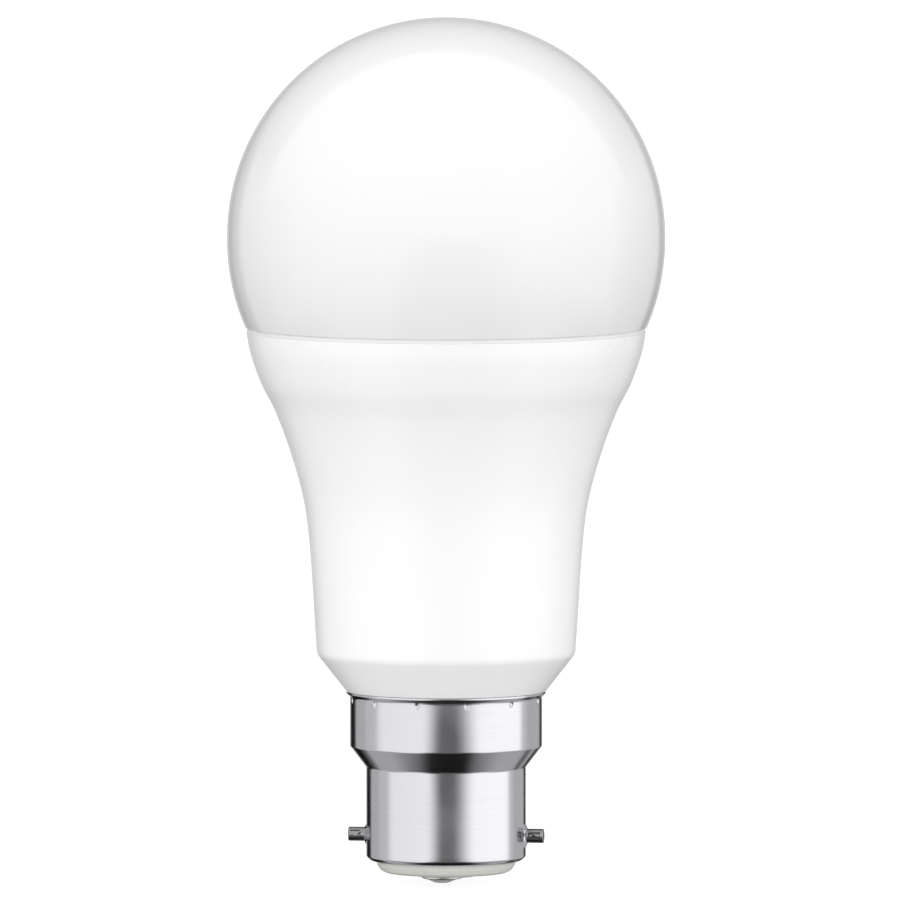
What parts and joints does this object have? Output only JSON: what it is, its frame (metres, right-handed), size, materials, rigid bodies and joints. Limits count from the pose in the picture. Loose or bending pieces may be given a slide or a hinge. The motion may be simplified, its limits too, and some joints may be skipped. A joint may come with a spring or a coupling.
{
  "type": "smart light bulb",
  "caption": "Round-headed LED lamp with an opal globe, a flared white housing and a metal bayonet cap, holding a wireless module, colour LEDs and a mains driver.",
  "frame": {"origin": "on the bulb's axis, in the plane of the two solder contacts, where the cap seats in a lampholder", "axes": "+Z along the bulb's axis from the cap to the top of the globe; X through both bayonet pins; Y through both contacts"},
  "size_m": [0.06, 0.06, 0.1184],
  "materials": {
    "opal": "satin opal plastic",
    "housing_white": "satin white plastic",
    "silicone": "matte white silicone",
    "cap_metal": "satin nickel-plated sheet",
    "insulator": "satin moulded insulator",
    "solder": "dull solder",
    "tinned": "satin tin plate on brass",
    "aluminium": "satin",
    "thermal_grey": "matte",
    "board_white": "white solder mask",
    "board_green": "green solder mask",
    "board_blue": "blue solder mask",
    "led_warm": "phosphor gel",
    "led_cool": "phosphor gel",
    "led_colour": "clear gel",
    "steel": "satin",
    "copper": "enamelled copper",
    "ferrite": "matte",
    "black_plastic": "moulded",
    "sleeve": "shrink sleeve",
    "film_yellow": "potted",
    "varistor_blue": "dipped",
    "resistor_tan": "lacquered",
    "live_brown": "insulation",
    "neutral_blue": "insulation"
  },
  "bodies": {
    "root": {"diffuser_globe": "opal", "globe_seal_ring": "silicone", "housing_shell": "housing_white", "heat_sink_cup": "aluminium", "heat_spreader_plate": "aluminium", "thermal_pad": "thermal_grey", "led_board": "board_white", "led_warm_white_1": "led_warm", "led_warm_white_2": "led_warm", "led_warm_white_3": "led_warm", "led_warm_white_4": "led_warm", "led_warm_white_5": "led_warm", "led_warm_white_6": "led_warm", "led_warm_white_7": "led_warm", "led_warm_white_8": "led_warm", "led_cool_white_1": "led_cool", "led_cool_white_2": "led_cool", "led_cool_white_3": "led_cool", "led_cool_white_4": "led_cool", "led_cool_white_5": "led_cool", "led_cool_white_6": "led_cool", "led_cool_white_7": "led_cool", "led_cool_white_8": "led_cool", "led_colour_1": "led_colour", "led_colour_2": "led_colour", "led_colour_3": "led_colour", "led_colour_4": "led_colour", "led_board_screw_1": "steel", "led_board_screw_2": "steel", "led_board_screw_3": "steel", "led_board_socket": "board_white", "driver_pin_header": "black_plastic", "wireless_board": "board_blue", "wireless_shield_can": "steel", "wireless_antenna": "copper", "wireless_header": "black_plastic", "driver_board": "board_green", "input_capacitor": "sleeve", "output_capacitor": "sleeve", "transformer_core": "ferrite", "transformer_bobbin": "black_plastic", "transformer_winding": "copper", "filter_choke_core": "ferrite", "filter_choke_winding": "copper", "film_capacitor": "film_yellow", "surge_varistor": "varistor_blue", "fusible_resistor": "resistor_tan", "bridge_rectifier": "black_plastic", "driver_chip": "black_plastic", "live_lead": "live_brown", "neutral_lead": "neutral_blue", "cap_shell": "cap_metal", "bayonet_pin_left": "cap_metal", "bayonet_pin_right": "cap_metal", "cap_insulator": "insulator", "contact_plate_front": "tinned", "contact_plate_back": "tinned", "contact_solder_front": "solder", "contact_solder_back": "solder"}
  },
  "joints": []
}
